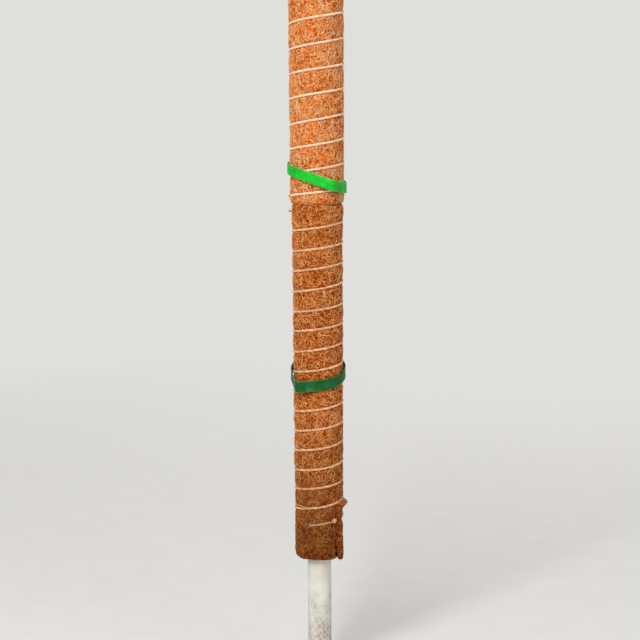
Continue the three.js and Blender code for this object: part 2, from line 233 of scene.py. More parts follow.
@dataclass
class Section:
    """One length of the pole. Heights in it are measured from its coir's foot."""

    name: str
    foot_radius: float
    head_radius: float
    pitch: float
    twine_start: float
    twine_azimuth: float
    loose_lift: float
    # How far the foot is darkened: partly damp, partly painted shade
    damp_and_shade: float
    coir_colours: tuple
    twine_colours: tuple
    seed: int

    @property
    def body(self):
        return f"{self.name}_section"

    @property
    def coir(self):
        return f"{self.name}_coir"

    @property
    def base(self):
        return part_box(f"{self.name}_core_tube")[0].z

    @property
    def crest(self):
        """How far the twine's outside is from the axis, at most."""
        return max(self.foot_radius, self.head_radius) + SEAT_CLEARANCE + TWINE_DIAMETER

    @property
    def laps(self):
        rise = WRAPPED_LENGTH - TWINE_END_MARGIN - self.twine_start + FIRST_LAP_CLOSING
        return rise / self.pitch


@dataclass
class Fibres:
    """One kind of coir fibre. Ranges run from least to most, and shades from dark to pale."""

    name: str
    pieces: int
    count: int
    length: tuple
    diameter: tuple
    curl_radius: float
    proud: float
    shades: tuple


@dataclass
class Tie:
    """A tape tie, at the height of its middle on the pole's axis, rising to the back and to the right."""

    section: Section
    height: float
    rise_to_back: float
    rise_to_right: float
    room_azimuth: float
    fin_azimuth: float
    colours: tuple

    @property
    def name(self):
        return f"{self.section.name}_tie"

    @property
    def slot(self):
        return f"{self.section.name}_tape"

    @property
    def loop_radius(self):
        return self.section.crest + TAPE_CLEARANCE


LOWER = Section(
    name="lower", foot_radius=18.8 * MM, head_radius=19.6 * MM, pitch=16.8 * MM,
    twine_start=34.1 * MM, twine_azimuth=50, loose_lift=5 * MM, damp_and_shade=1,
    # These coir and twine colours are darker than the upper length's: mostly painted shade, partly an older
    # length
    coir_colours=((98, 32, 0), (182, 88, 18), (236, 142, 66), (255, 192, 124)),
    twine_colours=((146, 86, 44), (214, 158, 110), (255, 210, 170)),
    seed=11,
)
UPPER = Section(
    name="upper", foot_radius=20.8 * MM, head_radius=21.2 * MM, pitch=20.2 * MM,
    twine_start=6.5 * MM, twine_azimuth=-80, loose_lift=0, damp_and_shade=0,
    coir_colours=((136, 44, 0), (242, 126, 42), (255, 182, 106), (255, 218, 164)),
    twine_colours=((196, 130, 84), (244, 198, 158), (255, 230, 204)),
    seed=23,
)
# A kind's shades run from its lowest-lying fibres to its highest: the darkness of the low ones is partly
# painted shade, partly dirt
COARSE = Fibres(
    name="coarse", pieces=3, count=3250, length=(5 * MM, 17 * MM), diameter=(0.24 * MM, 0.6 * MM),
    curl_radius=5 * MM, proud=0.5 * MM, shades=(0.14, 0.9),
)
FINE = Fibres(
    name="fine", pieces=2, count=3700, length=(4 * MM, 15 * MM), diameter=(0.12 * MM, 0.24 * MM),
    curl_radius=6 * MM, proud=0.3 * MM, shades=(0.05, 0.75),
)
# Fibres stick out of the tuft, hang from it down the flap, and fray along the flap's edge. Their way is how
# far they go out, up and on
FRAYS = (
    dict(
        count=260, turns=(10, TUFT_TURN + TUFT_SPAN), reach=2.6 * MM, way=(0.7, 0.2, 0.1), spread=0.5,
        heights=(TUFT_HEIGHT - TUFT_DEPTH, TUFT_HEIGHT + TUFT_DEPTH),
    ),
    dict(
        count=130, turns=(2, 60), reach=20 * MM, way=(0.03, -1, 0), spread=0.05,
        heights=(TUFT_HEIGHT - 2 * TUFT_DEPTH, TUFT_HEIGHT),
    ),
    dict(
        count=160, turns=(-1, 5), reach=2.6 * MM, way=(0.7, 0.2, -0.4), spread=0.5,
        heights=(0, TUFT_HEIGHT),
    ),
)
LOWER_TIE = Tie(
    section=LOWER, height=158.3 * MM, rise_to_back=0.36, rise_to_right=0.04, room_azimuth=-38,
    # These are the upper tie's green tape in darker colours: painted shade
    fin_azimuth=165, colours=((6, 58, 24), (24, 96, 42), (100, 176, 116)),
)
UPPER_TIE = Tie(
    section=UPPER, height=321 * MM, rise_to_back=0.05, rise_to_right=-0.34, room_azimuth=25,
    fin_azimuth=200, colours=((4, 132, 26), (24, 188, 46), (130, 240, 120)),
)


# Small helpers for points and meshes

def on_pole(azimuth, radius, height):
    """Points at azimuths, distances from the axis and heights."""
    angle = np.radians(azimuth)
    return np.stack(np.broadcast_arrays(radius * np.sin(angle), -radius * np.cos(angle), height), -1)


def unit(vectors):
    return vectors / np.maximum(np.linalg.norm(vectors, axis=-1, keepdims=True), 1e-12)


def wave(travel, size, length, phase=0):
    return size * np.sin(travel / length + phase)


def travelled(line):
    """Distance along a line at each of its points."""
    steps = np.linalg.norm(np.diff(line, axis=0), axis=1)
    return np.append(0, np.cumsum(steps))


def random_field(seed, size, count=24):
    """A smooth random field with bumps about this size, from points to values about -1 to 1."""
    rng = np.random.default_rng(seed)
    waves = unit(rng.normal(size=(count, 3))) * rng.uniform(0.7, 1.4, (count, 1)) * math.pi / size
    phases = rng.uniform(0, math.tau, count)
    return lambda points: np.cos(points @ waves.T + phases).sum(-1) / math.sqrt(count)


def rounded_corner(before, corner, after, reach, steps):
    """A curve that cuts off a corner, from this far before it to as far after it."""
    back = unit(before - corner)
    on = unit(after - corner)
    share = np.linspace(0, 1, steps)[:, None]
    return corner + reach * ((1 - share) ** 2 * back + share**2 * on)


def carried_frames(paths):
    """Two directions across paths (strand, ring, xyz), which turn as little as they can."""
    along = unit(np.gradient(paths, axis=1))
    least = np.eye(3)[np.abs(along[:, 0]).argmin(-1)]
    normal = np.empty_like(paths)
    normal[:, 0] = unit(np.cross(along[:, 0], least))
    for ring in range(1, paths.shape[1]):
        last = normal[:, ring - 1]
        way = along[:, ring]
        normal[:, ring] = unit(last - (last * way).sum(-1, keepdims=True) * way)
    return normal, np.cross(along, normal)


def quad_corners(grid):
    """A grid's values at the corners of each of its quads, in order round it."""
    corners = [grid[:-1, :-1], grid[:-1, 1:], grid[1:, 1:], grid[1:, :-1]]
    return np.stack(corners, 2).reshape(-1, 4, *grid.shape[2:])


def map_places(across, up):
    """Places on the map for quads between columns and rows."""
    return quad_corners(np.stack(np.meshgrid(across, up), -1))


def new_object(name, data):
    made = bpy.data.objects.new(name, data)
    bpy.context.scene.collection.objects.link(made)
    return made


class Shape:
    """Points, faces and the faces' places on the bake map, gathered for a mesh."""

    def __init__(self):
        self.points = np.zeros((0, 3))
        self.faces = []
        self.places = []
        self.marks = {}

    def add_points(self, points, **marks):
        """Adds points, marked with values that a material reads, and gives their numbers."""
        start = len(self.points)
        self.points = np.vstack([self.points, points.reshape(-1, 3)])
        for name, values in marks.items():
            before = self.marks.get(name, np.zeros(start))
            wide = np.broadcast_to(values, points.shape[:-1]).reshape(-1)
            self.marks[name] = np.hstack([before, wide])
        return np.arange(start, len(self.points)).reshape(points.shape[:-1])

    def add_faces(self, faces, places):
        self.faces.append(faces)
        self.places.append(places)

    def add_grid(self, index, area, facing=1):
        """Adds quads over a grid of point numbers, on an area of the map. Facing -1 turns them over."""
        left, foot, right, head = area
        rows, columns = index.shape
        places = map_places(np.linspace(left, right, columns), np.linspace(foot, head, rows))
        self.add_faces(quad_corners(index)[:, ::facing], places[:, ::facing])

    def add_strands(self, paths, radii, sides, area=(0, 0, 1, 1), rings_a_cell=None, **marks):
        """Adds tubes along paths (strand, ring, xyz). A cell of the map has a strand or some rings."""
        strands, rings, _ = paths.shape
        normal, across = carried_frames(paths)
        angle = math.tau * np.arange(sides) / sides
        circle = np.cos(angle)[:, None] * normal[:, :, None] + np.sin(angle)[:, None] * across[:, :, None]
        points = paths[:, :, None] + np.asarray(radii)[..., None, None] * circle
        wide = {name: np.asarray(values)[..., None] for name, values in marks.items()}
        index = self.add_points(points, **wide)
        after = np.roll(index, -1, axis=2)
        quads = np.stack([index[:, :-1], after[:, :-1], after[:, 1:], index[:, 1:]], -1)

        rings_a_cell = rings_a_cell or rings - 1
        cells_a_strand = math.ceil((rings - 1) / rings_a_cell)
        columns = math.ceil(math.sqrt(strands * cells_a_strand))
        ring = np.arange(rings - 1)
        cell = np.arange(strands)[:, None] * cells_a_strand + ring // rings_a_cell
        left, foot, right, head = area
        inside = 1 - 2 * CELL_MARGIN

        def places(cell, u, v):
            across_map = left + (right - left) * (cell % columns + CELL_MARGIN + inside * u) / columns
            up_map = foot + (head - foot) * (cell // columns + CELL_MARGIN + inside * v) / columns
            return np.stack(np.broadcast_arrays(across_map, up_map), -1)

        u = (np.arange(sides)[:, None] + np.array([0, 1, 1, 0])) / sides
        v = (ring[:, None, None] % rings_a_cell + np.array([0, 0, 1, 1])) / rings_a_cell
        on_map = places(cell[:, :, None, None], u[None, None], v[None])
        self.add_faces(quads.reshape(-1, 4), on_map.reshape(-1, 4, 2))

        # Caps close the ends, and lie as small rings in the first and the last cell
        cap_u = 0.5 + 0.2 * np.cos(angle)
        cap_v = 0.1 + 0.08 * np.sin(angle)
        self.add_faces(index[:, 0, ::-1], places(cell[:, :1], cap_u, cap_v))
        self.add_faces(index[:, -1], places(cell[:, -1:], cap_u, 1 - cap_v))

    def piece(self, name, material, body, slot, replaced=None):
        """Makes the mesh object, which moves with a body and may replace a solid."""
        mesh = bpy.data.meshes.new(name)
        mesh.vertices.add(len(self.points))
        mesh.vertices.foreach_set("co", self.points.astype(np.float32).ravel())
        corners = np.hstack([faces.ravel() for faces in self.faces])
        totals = np.hstack([np.full(len(faces), faces.shape[1]) for faces in self.faces])
        mesh.loops.add(len(corners))
        mesh.loops.foreach_set("vertex_index", corners.astype(np.int32))
        mesh.polygons.add(len(totals))
        mesh.polygons.foreach_set("loop_start", (np.cumsum(totals) - totals).astype(np.int32))
        mesh.polygons.foreach_set("use_smooth", np.ones(len(totals), bool))
        mesh.update(calc_edges=True)
        layer = mesh.uv_layers.new(name=BAKE_MAP)
        places = np.vstack([place.reshape(-1, 2) for place in self.places])
        layer.uv.foreach_set("vector", places.astype(np.float32).ravel())
        for mark, values in self.marks.items():
            attribute = mesh.attributes.new(mark, "FLOAT", "POINT")
            attribute.data.foreach_set("value", values.astype(np.float32))
        mesh.materials.append(material)
        made = new_object(name, mesh)
        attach(made, body)
        if replaced:
            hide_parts(replaced)


# Materials

def paint(colour):
    """A colour as seen on a screen, as the linear values that a shader takes."""
    shares = [value / 255 for value in colour]
    linear = [s / 12.92 if s <= 0.04045 else ((s + 0.055) / 1.055) ** 2.4 for s in shares]
    return (*linear, 1)


class Nodes:
    """The nodes of a material or a world, with short ways to add more."""

    def __init__(self, name, owners="materials", shader="Principled BSDF", **inputs):
        self.owner = getattr(bpy.data, owners).new(name)
        self.owner.use_nodes = True
        self.tree = self.owner.node_tree
        self.shader = self.tree.nodes[shader]
        self.look(**inputs)

    def put(self, socket, value):
        """Sets an input to a constant, or links it to another node's output."""
        if isinstance(value, bpy.types.NodeSocket):
            self.tree.links.new(value, socket)
        else:
            socket.default_value = value

    def look(self, node=None, **inputs):
        """Sets inputs by name, of a node or of the shader."""
        node = node or self.shader
        for name, value in inputs.items():
            self.put(node.inputs[name.replace("_", " ")], value)

    def add(self, kind, **inputs):
        node = self.tree.nodes.new(f"ShaderNode{kind}")
        self.look(node, **inputs)
        return node

    def place(self, stretch=(1, 1, 1), source=None):
        """Stretched coordinates, by default those of the pole's own frame."""
        source = source or self.add("TexCoord").outputs["Object"]
        return self.add("Mapping", Vector=source, Scale=stretch).outputs["Vector"]

    def mark(self, name):
        node = self.add("Attribute")
        node.attribute_name = name
        return node.outputs["Fac"]

    def marked_place(self, first, second):
        return self.add("CombineXYZ", X=self.mark(first), Y=self.mark(second)).outputs["Vector"]

    def noise(self, scale, detail=3.0, roughness=0.55, vector=None, distortion=0.0):
        node = self.add("TexNoise", Vector=vector or self.place(), Scale=scale, Detail=detail)
        self.look(node, Roughness=roughness, Distortion=distortion)
        return node.outputs["Fac"]

    def math(self, operation, *values):
        node = self.add("Math")
        node.operation = operation
        for socket, value in zip(node.inputs, values):
            self.put(socket, value)
        return node.outputs["Value"]

    def between(self, value, low, high, to_low=0.0, to_high=1.0):
        node = self.add("MapRange", Value=value, From_Min=low, From_Max=high, To_Min=to_low, To_Max=to_high)
        return node.outputs["Result"]

    def vary(self, noise, low, high):
        """A noise taken from its usual range to another one."""
        return self.between(noise, *NOISE_RANGE, low, high)

    def ramp(self, factor, places, colours):
        node = self.add("ValToRGB", Fac=factor)
        elements = node.color_ramp.elements
        while len(elements) < len(places):
            elements.new(0.5)
        for element, place, colour in zip(elements, places, colours):
            element.position = place
            element.color = paint(colour)
        return node.outputs["Color"]

    def blend(self, factor, first, second, kind="MIX"):
        node = self.add("Mix")
        node.data_type = "RGBA"
        node.blend_type = kind
        sockets = {socket.identifier: socket for socket in node.inputs}
        for name, value in (("Factor_Float", factor), ("A_Color", first), ("B_Color", second)):
            self.put(sockets[name], value)
        return next(socket for socket in node.outputs if socket.identifier == "Result_Color")

    def bump(self, height, strength, distance):
        node = self.add("Bump", Height=height, Strength=strength, Distance=distance)
        self.look(Normal=node.outputs["Normal"])


def hair_web(nodes, scale, width):
    """Curly thin lines all over, where a noise crosses its middle value."""
    crossing = nodes.math("SUBTRACT", nodes.noise(scale, 2, 0.5, distortion=0.8), 0.5)
    return nodes.between(nodes.math("ABSOLUTE", crossing), 0, width, 1, 0)


def growing_down(nodes, noise, patch, start, end, most):
    """A share that grows down the pole from one height to another, with a patchy edge."""
    height = nodes.add("SeparateXYZ", Vector=nodes.place()).outputs["Z"]
    patchy = nodes.math("ADD", height, nodes.vary(noise, -patch, patch))
    return nodes.between(patchy, start, end, 0, most)


def darken_damp_and_shade(nodes, colour, damp_and_shade):
    """A colour made darker towards the pole's foot: partly damp, partly painted shade."""
    wet_and_shaded = growing_down(nodes, nodes.noise(45), DAMP_AND_SHADE_PATCH, DAMP_AND_SHADE_HEIGHT, 0, damp_and_shade)
    return nodes.blend(wet_and_shaded, colour, paint(DAMP_AND_SHADE_TINT), "MULTIPLY")


def coir_finish(section):
    """Coir: each fibre has its own shade from red-brown to straw, blotched, and darker towards the foot,
    partly damp and partly painted shade.
    """
    nodes = Nodes(section.coir, Specular_IOR_Level=0.06)
    blotches = nodes.noise(620)
    web = nodes.math("MAXIMUM", hair_web(nodes, 420, 0.045), hair_web(nodes, 700, 0.075))
    shade = nodes.math("ADD", nodes.mark("shade"), nodes.vary(blotches, -0.3, 0.3))
    shade = nodes.math("ADD", shade, nodes.math("MULTIPLY", web, 0.4))
    colour = nodes.ramp(shade, (0, 0.36, 0.68, 1), section.coir_colours)
    nodes.look(Base_Color=darken_damp_and_shade(nodes, colour, section.damp_and_shade))
    nodes.look(Roughness=nodes.vary(nodes.noise(900, 2), 0.5, 0.78))
    nodes.bump(nodes.math("ADD", web, nodes.noise(2600)), strength=0.8, distance=0.2 * MM)
    return nodes.owner


def twine_finish(section):
    """Laid twine: pale fibres that follow each ply, dusty in patches."""
    nodes = Nodes(f"{section.name}_twine", Specular_IOR_Level=0.2, Sheen_Weight=0.25, Sheen_Roughness=0.5)
    streaks = nodes.place((220, 5, 1), nodes.marked_place("along", "round"))
    fibres = nodes.noise(1.0, 5, 0.65, streaks, 0.6)
    dust = nodes.noise(70)
    shade = nodes.math("ADD", nodes.mark("shade"), nodes.between(fibres, 0.25, 0.75, -0.3, 0.3))
    shade = nodes.math("ADD", shade, nodes.vary(dust, -0.15, 0.15))
    colour = nodes.ramp(shade, (0, 0.5, 1), section.twine_colours)
    # The twine is darkened towards the foot too: partly damp, partly painted shade
    nodes.look(Base_Color=darken_damp_and_shade(nodes, colour, TWINE_DAMP_AND_SHADE * section.damp_and_shade))
    nodes.look(Roughness=nodes.vary(fibres, 0.7, 0.92))
    nodes.bump(fibres, strength=0.5, distance=0.2 * MM)
    return nodes.owner


def tape_finish(tie):
    """Soft tape: satin, drawn lengthwise, paler in places, with a painted highlight along its edges."""
    nodes = Nodes(tie.slot, Specular_IOR_Level=0.15)
    along = nodes.marked_place("along", "across")
    drawn = nodes.noise(0.35, 3, 0.5, nodes.place((30, 9000, 1), along))
    clouds = nodes.noise(120, 4)
    crumpled = nodes.noise(0.6, 3, 0.6, nodes.place((900, 160, 1), along), 0.5)
    # A painted highlight along the tape's edges
    rim = nodes.between(nodes.mark("edge"), 0.9, 1.0, 0, 0.35)
    shade = nodes.math("ADD", nodes.vary(clouds, 0.1, 0.6), rim)
    shade = nodes.math("ADD", shade, nodes.vary(drawn, -0.1, 0.1))
    nodes.look(Base_Color=nodes.ramp(shade, (0, 0.5, 1), tie.colours))
    nodes.look(Roughness=nodes.vary(clouds, 0.38, 0.55))
    creases = nodes.math("ADD", crumpled, nodes.math("MULTIPLY", drawn, 0.3))
    nodes.bump(creases, strength=0.6, distance=0.25 * MM)
    return nodes.owner


def plastic_finish():
    """Extruded pipe: off-white, faintly drawn lengthwise, scuffed, and stained towards its foot."""
    nodes = Nodes("core_plastic", Specular_IOR_Level=0.45)
    drawn = nodes.noise(900, 3, 0.6, nodes.place((1, 1, 0.02)))
    clouds = nodes.noise(60, 4)
    colour = nodes.ramp(clouds, NOISE_RANGE, PLASTIC_COLOURS)
    scuffs = nodes.between(nodes.noise(700, 6, 0.7, nodes.place((1, 1, 0.3))), 0.62, 0.7, 0, 0.35)
    colour = nodes.blend(scuffs, colour, paint(SCUFF_COLOUR))
    stained = growing_down(nodes, nodes.noise(110, 5, 0.65), STAIN_PATCH, *STAIN_HEIGHTS, 0.75)
    crumbs = nodes.between(nodes.noise(420, 4, 0.65), 0.42, 0.6, 0.15, 1)
    stain = nodes.math("MULTIPLY", stained, crumbs)
    nodes.look(Base_Color=nodes.blend(stain, colour, paint(STAIN_COLOUR)))
    nodes.look(Roughness=nodes.vary(clouds, 0.36, 0.55))
    nodes.bump(drawn, strength=0.2, distance=0.1 * MM)
    return nodes.owner


def steel_finish():
    """Bright staple wire with fine scratches and a little tarnish."""
    nodes = Nodes("staple_wire", Metallic=1.0)
    tarnish = nodes.noise(700, 4)
    nodes.look(Base_Color=nodes.ramp(tarnish, (0.35, 0.7), STEEL_COLOURS))
    nodes.look(Roughness=nodes.vary(nodes.noise(2400), 0.22, 0.42))
    nodes.bump(nodes.noise(4000, 2), strength=0.15, distance=0.03 * MM)
    return nodes.owner


# The felt's shape, shared by the mats and the fibres on them

def felt_radius(section, height):
    """Radius of the felt where the twine presses it."""
    share = height / WRAPPED_LENGTH
    return section.foot_radius + (section.head_radius - section.foot_radius) * share


def twine_height(section, laps):
    """Height of the twine after some laps. The first one closes up, and the twine sways a little."""
    closed = FIRST_LAP_CLOSING * (1 - np.maximum(0, 1 - laps) ** 2)
    sway = TWINE_SWAY * (np.sin(2.3 * laps + section.seed) + 0.6 * np.sin(7.9 * laps))
    return section.twine_start + section.pitch * laps - closed + sway


def gap_to_twine(section, azimuth, height):
    """Distance along the pole to the nearest lap of twine."""
    first = np.mod((azimuth - section.twine_azimuth) / 360, 1)
    nearest = np.full(np.shape(height), WRAPPED_LENGTH)
    for whole in range(math.ceil(section.laps)):
        laps = first + whole
        gap = np.where(laps <= section.laps, np.abs(twine_height(section, laps) - height), nearest)
        nearest = np.minimum(nearest, gap)
    return nearest


def loose_curl(section, turn, height):
    """How far the loose corner of the flap stands off."""
    fallen = np.maximum(0, 1 - height / LOOSE_CORNER_HEIGHT)
    freed = np.maximum(0, 1 - np.maximum(turn, 0) / LOOSE_CORNER_SPAN)
    return section.loose_lift * fallen**1.6 * freed**2


def bunched_edge(turn, height):
    """How far the flap's bunched edge stands out over the lowest lap of twine."""
    beside = np.exp(-(((turn - BUNCHED_EDGE_TURN) / BUNCHED_EDGE_SPAN) ** 4))
    below = np.clip((TUFT_HEIGHT - height) / TUFT_DEPTH, 0, 1)
    return BUNCHED_EDGE_HEIGHT * beside * below


def tuft(turn, height):
    """How far a tuft at the flap's head is pulled out. It grows on from the flap's edge."""
    grown = TUFT_ROOT + (TUFT_REACH - TUFT_ROOT) * np.clip(turn / TUFT_TURN, 0, 1)
    past_end = np.maximum(0, turn - TUFT_TURN) / TUFT_SPAN
    beyond = np.where(turn < 0, turn / TUFT_START_SPAN, past_end)
    above = (height - TUFT_HEIGHT) / TUFT_DEPTH
    return grown * np.exp(-(beyond**2) - above**2)


def hollow(turn, height):
    """How far the felt is thinned below the tuft."""
    beside = np.interp(turn, HOLLOW_TURNS, (0, 1, 1, 0))
    return HOLLOW_DEPTH * beside * np.clip((HOLLOW_HEIGHT - height) / TUFT_DEPTH, 0, 1)


def pulled_out(section, turn, height):
    """How far the felt stands out where the flap has worked loose."""
    if not section.loose_lift:
        return 0 * (turn + height)
    return loose_curl(section, turn, height) + bunched_edge(turn, height) + tuft(turn, height)


def felt_surface(section, turn, height):
    """Radius of the felt's outside. It swells between the laps of twine and rounds off at the ends."""
    azimuth = SEAM_AZIMUTH + turn
    gap = gap_to_twine(section, azimuth, height)
    full = 1 - np.exp(-((gap / BITE_WIDTH) ** 2))
    points = on_pole(azimuth, section.foot_radius, height)
    swelling = FULLNESS + LUMP_HEIGHT * random_field(section.seed, LUMP_SIZE)(points)
    if section.loose_lift:
        swelling = swelling - hollow(turn, height)
    to_end = np.maximum(0, np.minimum(height, WRAPPED_LENGTH - height))
    rounding = END_ROUNDING * np.exp(-to_end / END_ROUNDING)
    return felt_radius(section, height) + full * swelling - rounding + pulled_out(section, turn, height)


# Coir mats

def make_mat(section, material):
    """The felt as one thick sheet rolled round the core, its thinned edges overlapping at the seam."""
    turn = np.linspace(0, 360 + SEAM_OVERLAP, MAT_COLUMNS + 1)
    azimuth = SEAM_AZIMUTH + turn
    height = np.linspace(0, WRAPPED_LENGTH, MAT_ROWS + 1)[:, None]
    grain = random_field(section.seed + 1, GRAIN_SIZE, count=40)
    outside = felt_surface(section, turn, height)
    outside = outside + GRAIN_HEIGHT * grain(on_pole(azimuth, outside, height))
    under = np.clip((turn - 360) / SEAM_OVERLAP, 0, 1)
    beneath = felt_radius(section, height) - SEAM_EDGE - SEAM_GAP
    slope = beneath + (MAT_INNER_RADIUS + SEAM_EDGE - beneath) * under
    outside = np.where(turn < 360, outside, slope)

    step_height = height[::MAT_ROWS_A_STEP]
    over = np.clip(turn / SEAM_OVERLAP, 0, 1)
    beneath = felt_radius(section, step_height) - SEAM_EDGE
    flap = beneath + (MAT_INNER_RADIUS - beneath) * over + loose_curl(section, turn, step_height)
    inside = np.where(turn < SEAM_OVERLAP, flap, MAT_INNER_RADIUS)

    shape = Shape()
    # The felt's outside gets dark shades: painted shade in the gaps between the fibres
    pits = PIT_SHADE + PIT_SPREAD * grain(on_pole(azimuth, section.foot_radius, height) * PIT_SQUEEZE)
    outer = shape.add_points(on_pole(azimuth, outside, section.base + height), shade=pits)
    inner = shape.add_points(on_pole(azimuth, inside, section.base + step_height), shade=0.2)
    shape.add_grid(outer, (0.01, 0.22, 0.99, 0.99))
    shape.add_grid(inner, (0.01, 0.1, 0.99, 0.2), -1)
    shape.add_grid(np.stack([inner[0], outer[0]]), (0.01, 0.055, 0.99, 0.09))
    shape.add_grid(np.stack([outer[-1], inner[-1]]), (0.01, 0.01, 0.99, 0.045))
    add_mat_edge(shape, outer[:, 0], inner[:, 0], (0.0, 0.22, 0.004, 0.99), 1)
    add_mat_edge(shape, outer[:, -1], inner[:, -1], (0.996, 0.22, 1, 0.99), -1)
    shape.piece(f"{section.coir}_felt", material, section.body, section.coir, f"{section.coir}_mat")


def add_mat_edge(shape, outer, inner, area, facing):
    """The sheet's long edge, between its finely stepped outside and its coarsely stepped inside."""
    left, foot, right, head = area
    steps = np.arange(len(inner) - 1)[:, None]
    rows = steps * MAT_ROWS_A_STEP + np.arange(MAT_ROWS_A_STEP + 1)
    faces = np.hstack([outer[rows], inner[steps + 1], inner[steps]])
    up = np.hstack([rows, rows[:, [-1, 0]]]) / MAT_ROWS
    across = np.where(np.arange(faces.shape[1]) <= MAT_ROWS_A_STEP, left, right)
    places = np.stack([np.broadcast_to(across, up.shape), foot + (head - foot) * up], -1)
    shape.add_faces(faces[:, ::facing], places[:, ::facing])


# Coir fibres

def wander(rng, kind, size, lean):
    """Curled paths on a flat sheet: distances across and up from their middles, and shares along them."""
    length = rng.uniform(*kind.length, size)
    heading = rng.normal(0, lean, size) + math.pi * rng.integers(0, 2, size)
    bend = rng.normal(0, 1 / kind.curl_radius, size)
    share = np.linspace(0, 1, FIBRE_POINTS)
    start = rng.uniform(0, 1, size)
    sway = FIBRE_SWAY * np.sin(math.tau * (FIBRE_SWAYS * share + start))
    way = heading + bend * length * (share - 0.5) + sway
    step = length / (FIBRE_POINTS - 1)
    across = np.cumsum(np.sin(way), 1) * step
    up = np.cumsum(np.cos(way), 1) * step
    return across - across.mean(1, keepdims=True), up - up.mean(1, keepdims=True), share


def fibre_thickness(rng, kind, size, share):
    """Radii along fibres, which are thinner at their ends. Thick ones are fewer."""
    low, high = kind.diameter
    diameter = low + (high - low) * rng.beta(1.3, 2.2, size)
    return diameter / 2 * (FIBRE_TIP + (1 - FIBRE_TIP) * np.sin(math.pi * share) ** 0.5)


def surface_fibres(section, rng, kind):
    """Fibres that lie on the felt with both ends in it, the lower ones darker with painted shade and dirt,
    and strays with one free.
    """
    size = (kind.count, 1)
    across, up, share = wander(rng, kind, size, lean=1.0)
    turn = rng.uniform(0, 360, size) + np.degrees(across / section.foot_radius)
    height = rng.uniform(0, WRAPPED_LENGTH, size) + up
    height = height + np.maximum(0, -END_OVERHANG - height.min(1, keepdims=True))
    height = height - np.maximum(0, height.max(1, keepdims=True) - WRAPPED_LENGTH - END_OVERHANG)
    level = rng.random(size)
    arch = np.sin(math.pi * share) ** 0.6
    lift = (FIBRE_BURIED + kind.proud * level) * arch - FIBRE_BURIED
    free = STRAY_REACH * rng.uniform(0.3, 1, size) * share**2
    stray = rng.random(size) < STRAY_SHARE
    lift = np.where(stray, np.maximum(lift, 0) + free, lift)
    radius = felt_surface(section, turn, np.clip(height, 0, WRAPPED_LENGTH)) + lift
    radius = np.minimum(radius, section.crest + pulled_out(section, turn, np.maximum(height, 0)))
    clumps = random_field(section.seed + 2, CLUMP_SIZE)(on_pole(SEAM_AZIMUTH + turn, radius, height))
    # Lower-lying fibres get darker shades: partly painted shade in the felt's depth, partly dirt
    low, high = kind.shades
    shade = low + (high - low) * level + rng.normal(0, SHADE_SPREAD, size) + CLUMP_SHADE * clumps
    paths = on_pole(SEAM_AZIMUTH + turn, radius, section.base + height)
    return paths, fibre_thickness(rng, kind, size, share), shade


def cut_fibres(section, rng, height, facing):
    """Cut fibres that lie on the felt's end face."""
    size = (CUT_FIBRES, 1)
    across, up, share = wander(rng, COARSE, size, lean=1.6)
    outer = felt_radius(section, height)
    middle = np.sqrt(rng.uniform(MAT_INNER_RADIUS**2, outer**2, size))
    azimuth = rng.uniform(0, 360, size) + np.degrees(0.7 * across / middle)
    radius = np.clip(middle + 0.5 * up, MAT_INNER_RADIUS + CUT_FIBRE_INSET, outer + CUT_FIBRE_OVERHANG)
    arch = rng.uniform(0.2, 1, size) * np.sin(math.pi * share)
    lift = CUT_FIBRE_LIFT * arch - CUT_FIBRE_ROOT
    shade = rng.normal(0.55, 0.2, size) + 0 * share
    paths = on_pole(azimuth, radius, section.base + height + facing * lift)
    return paths, fibre_thickness(rng, COARSE, size, share), shade


def frayed_fibres(section, rng, count, turns, heights, reach, way, spread):
    """Loose fibres from a worn place, rooted a little way into the felt."""
    size = (count, 1)
    share = np.linspace(0, 1, FIBRE_POINTS)
    turn = rng.uniform(*turns, size)
    height = rng.uniform(*heights, size)
    length = rng.uniform(0.35, 1, size) * reach
    way = np.array(way)[:, None, None]
    curl = rng.normal(0, spread, (3, *size))
    out, up, on = length * ((way + curl) * share - 0.6 * curl * share**2)
    turn = turn + np.degrees(on / section.foot_radius)
    height = np.maximum(height + up, -FRAY_OVERHANG)
    radius = felt_surface(section, turn, np.maximum(height, 0)) + np.maximum(out, 0) - FRAY_ROOT
    paths = on_pole(SEAM_AZIMUTH + turn, radius, section.base + height)
    shade = rng.normal(0.6, 0.2, size) + 0 * share
    return paths, fibre_thickness(rng, FINE, size, share), shade


def make_fibres(section, kind, material):
    """Fibres of one kind, in pieces. The first coarse piece has the cut ends too, the second the frays."""
    rng = np.random.default_rng(section.seed)
    for number in range(kind.pieces):
        groups = [surface_fibres(section, rng, kind)]
        if kind is COARSE and number == 0:
            groups.append(cut_fibres(section, rng, 0, -1))
            groups.append(cut_fibres(section, rng, WRAPPED_LENGTH, 1))
        elif kind is COARSE and number == 1 and section.loose_lift:
            groups.extend(frayed_fibres(section, rng, **fray) for fray in FRAYS)
        paths, radii, shade = (np.vstack(parts) for parts in zip(*groups))
        shape = Shape()
        shape.add_strands(paths, radii, FIBRE_SIDES, shade=shade)
        name = f"{section.name}_{kind.name}_fibres_{number + 1}"
        shape.piece(name, material, section.body, section.coir)


# Binding twine

def twine_line(section):
    """The twine's centre line, pressed into the felt, with a short run at each end for its knot."""
    around = math.tau * section.foot_radius
    run = TWINE_END_RUN / around
    count = int((section.laps + 2 * run) * around / TWINE_STEP)
    laps = np.linspace(-run, section.laps + run, count)
    wound = np.clip(laps, 0, section.laps)
    height = twine_height(section, wound) + section.pitch * (laps - wound)
    radius = felt_radius(section, height) + TWINE_DIAMETER / 2
    return on_pole(section.twine_azimuth + 360 * laps, radius, section.base + height)


